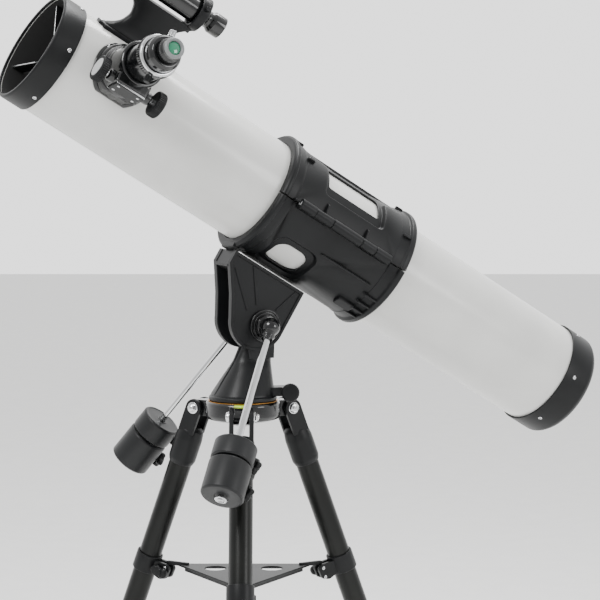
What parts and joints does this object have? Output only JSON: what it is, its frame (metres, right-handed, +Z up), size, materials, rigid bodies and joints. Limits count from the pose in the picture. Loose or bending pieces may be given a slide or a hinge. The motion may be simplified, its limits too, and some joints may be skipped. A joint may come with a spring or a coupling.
{
  "type": "telescope on tripod",
  "caption": "Reflector telescope on an altazimuth head with counterweights and a folding tripod; tube tilts, turns and focuses, legs extend.",
  "frame": {"origin": "on the floor under the centre of the object's box", "axes": "+Z up; -Y is the side of the front leg; the tube's open end points to -X, -Y and up"},
  "size_m": [0.8818, 0.6674, 1.3552],
  "materials": {
    "tube_paint": "satin white enamel on rolled steel",
    "black_abs": "moulded black ABS, fine texture",
    "gloss_black": "polished black plastic",
    "black_enamel": "glossy black enamel on cast aluminium",
    "black_steel": "black powder coat on sheet steel",
    "weight_enamel": "satin black enamel on turned iron",
    "leg_paint": "dark grey lacquer on aluminium tube",
    "chrome_steel": "polished chrome plate on steel",
    "mirror_coating": "aluminised optical mirror",
    "coated_glass": "green multicoated eye lens",
    "lime_acrylic": "lime liquid under clear acrylic"
  },
  "bodies": {
    "tripod": {"tripod_hub": "black_enamel", "bubble_level": "lime_acrylic", "azimuth_spindle": "chrome_steel"},
    "head": {"azimuth_column": "black_abs"},
    "cradle": {"altitude_yoke": "black_abs", "altitude_axle": "chrome_steel", "rod_socket_front": "black_abs", "rod_socket_rear": "black_abs", "counterweight_rod_front": "chrome_steel", "counterweight_rod_rear": "chrome_steel", "cradle_lower": "black_abs", "cradle_hinge_pin": "chrome_steel"},
    "cradle_top": {"cradle_upper": "black_abs"},
    "tube": {"optical_tube": "tube_paint", "front_cap": "black_abs", "rear_cap": "black_abs", "spider": "black_steel", "secondary_holder": "black_abs", "secondary_mirror": "mirror_coating", "mirror_cell": "black_abs", "primary_mirror": "mirror_coating", "focuser_body": "black_enamel", "pinion_cover": "black_enamel", "finder_bracket": "black_abs", "finder_tube": "gloss_black"},
    "drawtube": {"drawtube": "black_enamel", "drawtube_collar": "black_enamel", "eyepiece_adapter": "black_enamel"},
    "eyepiece": {"eyepiece": "gloss_black", "eye_lens": "coated_glass"},
    "focus_knobs": {"focus_knobs": "black_abs"},
    "adapter_thumbscrew": {"adapter_thumbscrew": "chrome_steel"},
    "drawtube_thumbscrew": {"drawtube_thumbscrew": "black_abs"},
    "collimation_screw_1": {"collimation_screw_1": "black_abs"},
    "collimation_screw_2": {"collimation_screw_2": "black_abs"},
    "collimation_screw_3": {"collimation_screw_3": "black_abs"},
    "cradle_knob_front": {"cradle_knob_front": "black_abs"},
    "cradle_knob_rear": {"cradle_knob_rear": "black_abs"},
    "weight_front_1": {"counterweight_front_1": "weight_enamel"},
    "weight_knob_front_1": {"weight_knob_front_1": "black_abs"},
    "weight_front_2": {"counterweight_front_2": "weight_enamel"},
    "weight_knob_front_2": {"weight_knob_front_2": "black_abs"},
    "weight_rear_1": {"counterweight_rear_1": "weight_enamel"},
    "weight_knob_rear_1": {"weight_knob_rear_1": "black_abs"},
    "weight_rear_2": {"counterweight_rear_2": "weight_enamel"},
    "weight_knob_rear_2": {"weight_knob_rear_2": "black_abs"},
    "azimuth_lock": {"azimuth_lock_knob": "black_abs"},
    "leg_1": {"leg_1_upper": "leg_paint"},
    "leg_1_extension": {"leg_1_lower": "leg_paint"},
    "leg_lock_1": {"leg_lock_1": "black_abs"},
    "tray_knob_1": {"tray_knob_1": "black_abs"},
    "leg_2": {"leg_2_upper": "leg_paint"},
    "leg_2_extension": {"leg_2_lower": "leg_paint"},
    "leg_lock_2": {"leg_lock_2": "black_abs"},
    "tray_knob_2": {"tray_knob_2": "black_abs"},
    "leg_3": {"leg_3_upper": "leg_paint"},
    "leg_3_extension": {"leg_3_lower": "leg_paint"},
    "leg_lock_3": {"leg_lock_3": "black_abs"},
    "tray_knob_3": {"tray_knob_3": "black_abs"},
    "tray": {"accessory_tray": "black_steel"}
  },
  "joints": [
    {"name": "azimuth", "type": "hinge", "parent": "tripod", "child": "head", "pos_m": [-0.09989, 0.02997, 0.70492], "axis": [0, 0, 1], "continuous": true},
    {"name": "altitude", "type": "hinge", "parent": "head", "child": "cradle", "pos_m": [-0.07993, 0.03924, 0.81592], "axis": [0.421, -0.907, 0], "range_deg": [-38, 31]},
    {"name": "cradle_open", "type": "hinge", "parent": "cradle", "child": "cradle_top", "pos_m": [0.04111, -0.01482, 0.95962], "axis": [0.7759, 0.3601, -0.518], "range_deg": [0, 95]},
    {"name": "tube_balance", "type": "slide", "parent": "cradle", "child": "tube", "axis": [-0.7759, -0.3601, 0.518], "range_m": [-0.06, 0.06]},
    {"name": "focus", "type": "slide", "parent": "tube", "child": "drawtube", "axis": [0.5283, -0.8197, 0.2214], "range_m": [-0.03, 0.02]},
    {"name": "focus_turn", "type": "hinge", "parent": "tube", "child": "focus_knobs", "pos_m": [-0.24874, -0.183, 1.16145], "axis": [-0.7759, -0.3601, 0.518], "range_deg": [-150, 220]},
    {"name": "eyepiece_pull", "type": "slide", "parent": "drawtube", "child": "eyepiece", "axis": [0.5283, -0.8197, 0.2214], "range_m": [0, 0.045]},
    {"name": "adapter_screw_turn", "type": "hinge", "parent": "drawtube", "child": "adapter_thumbscrew", "pos_m": [-0.19897, -0.22687, 1.20549], "axis": [0.3449, 0.4454, 0.8262], "continuous": true},
    {"name": "drawtube_screw_turn", "type": "hinge", "parent": "drawtube", "child": "drawtube_thumbscrew", "pos_m": [-0.2069, -0.21458, 1.20216], "axis": [-0.3449, -0.4454, -0.8262], "continuous": true},
    {"name": "collimation_turn_1", "type": "hinge", "parent": "tube", "child": "collimation_screw_1", "pos_m": [0.40361, 0.26369, 0.75027], "axis": [0.7759, 0.3601, -0.518], "continuous": true},
    {"name": "collimation_turn_2", "type": "hinge", "parent": "tube", "child": "collimation_screw_2", "pos_m": [0.348, 0.28752, 0.68355], "axis": [0.7759, 0.3601, -0.518], "continuous": true},
    {"name": "collimation_turn_3", "type": "hinge", "parent": "tube", "child": "collimation_screw_3", "pos_m": [0.38592, 0.20583, 0.68355], "axis": [0.7759, 0.3601, -0.518], "continuous": true},
    {"name": "cradle_knob_front_turn", "type": "hinge", "parent": "cradle_top", "child": "cradle_knob_front", "pos_m": [-0.08864, 0.15757, 1.00097], "axis": [0.4699, 0.2181, 0.8554], "continuous": true},
    {"name": "cradle_knob_rear_turn", "type": "hinge", "parent": "cradle_top", "child": "cradle_knob_rear", "pos_m": [0.02774, 0.21159, 0.92326], "axis": [0.4699, 0.2181, 0.8554], "continuous": true},
    {"name": "weight_slide_front_1", "type": "slide", "parent": "cradle", "child": "weight_front_1", "axis": [-0.2275, -0.6061, -0.7621], "range_m": [-0.11, 0.002]},
    {"name": "weight_knob_turn_front_1", "type": "hinge", "parent": "weight_front_1", "child": "weight_knob_front_1", "pos_m": [-0.08276, -0.12606, 0.63306], "axis": [0.7759, 0.3601, -0.518], "continuous": true},
    {"name": "weight_slide_front_2", "type": "slide", "parent": "cradle", "child": "weight_front_2", "axis": [-0.2275, -0.6061, -0.7621], "range_m": [-0.11, 0.002]},
    {"name": "weight_knob_turn_front_2", "type": "hinge", "parent": "weight_front_2", "child": "weight_knob_front_2", "pos_m": [-0.09277, -0.15273, 0.59953], "axis": [0.7759, 0.3601, -0.518], "continuous": true},
    {"name": "weight_slide_rear_1", "type": "slide", "parent": "cradle", "child": "weight_rear_1", "axis": [-0.6098, 0.2175, -0.7621], "range_m": [-0.11, 0.002]},
    {"name": "weight_knob_turn_rear_1", "type": "hinge", "parent": "weight_rear_1", "child": "weight_knob_rear_1", "pos_m": [-0.20801, 0.14377, 0.63306], "axis": [0.7759, 0.3601, -0.518], "continuous": true},
    {"name": "weight_slide_rear_2", "type": "slide", "parent": "cradle", "child": "weight_rear_2", "axis": [-0.6098, 0.2175, -0.7621], "range_m": [-0.11, 0.002]},
    {"name": "weight_knob_turn_rear_2", "type": "hinge", "parent": "weight_rear_2", "child": "weight_knob_rear_2", "pos_m": [-0.23485, 0.15334, 0.59953], "axis": [0.7759, 0.3601, -0.518], "continuous": true},
    {"name": "azimuth_lock_turn", "type": "hinge", "parent": "head", "child": "azimuth_lock", "pos_m": [-0.02989, 0.02997, 0.71892], "axis": [0, -1, 0], "continuous": true},
    {"name": "leg_fold_1", "type": "hinge", "parent": "tripod", "child": "leg_1", "pos_m": [-0.09989, -0.04603, 0.68992], "axis": [1, 0, 0], "range_deg": [0, 21]},
    {"name": "leg_extend_1", "type": "slide", "parent": "leg_1", "child": "leg_1_extension", "axis": [0, -0.3616, -0.9323], "range_m": [0, 0.25]},
    {"name": "leg_lock_turn_1", "type": "hinge", "parent": "leg_1", "child": "leg_lock_1", "pos_m": [-0.09989, -0.2982, 0.12273], "axis": [0, -0.9323, 0.3616], "continuous": true},
    {"name": "tray_knob_turn_1", "type": "hinge", "parent": "leg_1", "child": "tray_knob_1", "pos_m": [-0.08789, -0.10856, 0.43745], "axis": [1, 0, 0], "continuous": true},
    {"name": "leg_fold_2", "type": "hinge", "parent": "tripod", "child": "leg_2", "pos_m": [-0.03407, 0.06797, 0.68992], "axis": [-0.5, 0.866, 0], "range_deg": [0, 21]},
    {"name": "leg_extend_2", "type": "slide", "parent": "leg_2", "child": "leg_2_extension", "axis": [0.3132, 0.1808, -0.9323], "range_m": [0, 0.25]},
    {"name": "leg_lock_turn_2", "type": "hinge", "parent": "leg_2", "child": "leg_lock_2", "pos_m": [0.18432, 0.19406, 0.12273], "axis": [0.8074, 0.4662, 0.3616], "continuous": true},
    {"name": "tray_knob_turn_2", "type": "hinge", "parent": "leg_2", "child": "tray_knob_2", "pos_m": [0.01409, 0.10963, 0.43745], "axis": [-0.5, 0.866, 0], "continuous": true},
    {"name": "leg_fold_3", "type": "hinge", "parent": "tripod", "child": "leg_3", "pos_m": [-0.16571, 0.06797, 0.68992], "axis": [-0.5, -0.866, 0], "range_deg": [0, 21]},
    {"name": "leg_extend_3", "type": "slide", "parent": "leg_3", "child": "leg_3_extension", "axis": [-0.3132, 0.1808, -0.9323], "range_m": [0, 0.25]},
    {"name": "leg_lock_turn_3", "type": "hinge", "parent": "leg_3", "child": "leg_lock_3", "pos_m": [-0.3841, 0.19406, 0.12273], "axis": [-0.8074, 0.4662, 0.3616], "continuous": true},
    {"name": "tray_knob_turn_3", "type": "hinge", "parent": "leg_3", "child": "tray_knob_3", "pos_m": [-0.22586, 0.08885, 0.43745], "axis": [-0.5, -0.866, 0], "continuous": true},
    {"name": "tray_lift_off", "type": "slide", "parent": "tripod", "child": "tray", "axis": [0, 0, 1], "range_m": [-0.82, 0]}
  ],
  "couplings": [
    {"joint": "focus_turn", "follows": "focus", "rad_per_m": -125},
    {"joint": "weight_slide_front_2", "follows": "weight_slide_front_1", "ratio": 1},
    {"joint": "weight_slide_rear_2", "follows": "weight_slide_rear_1", "ratio": 1},
    {"joint": "leg_fold_2", "follows": "leg_fold_1", "ratio": 1},
    {"joint": "leg_fold_3", "follows": "leg_fold_1", "ratio": 1},
    {"joint": "tray_lift_off", "follows": "leg_fold_1", "m_per_rad": -2.2}
  ]
}
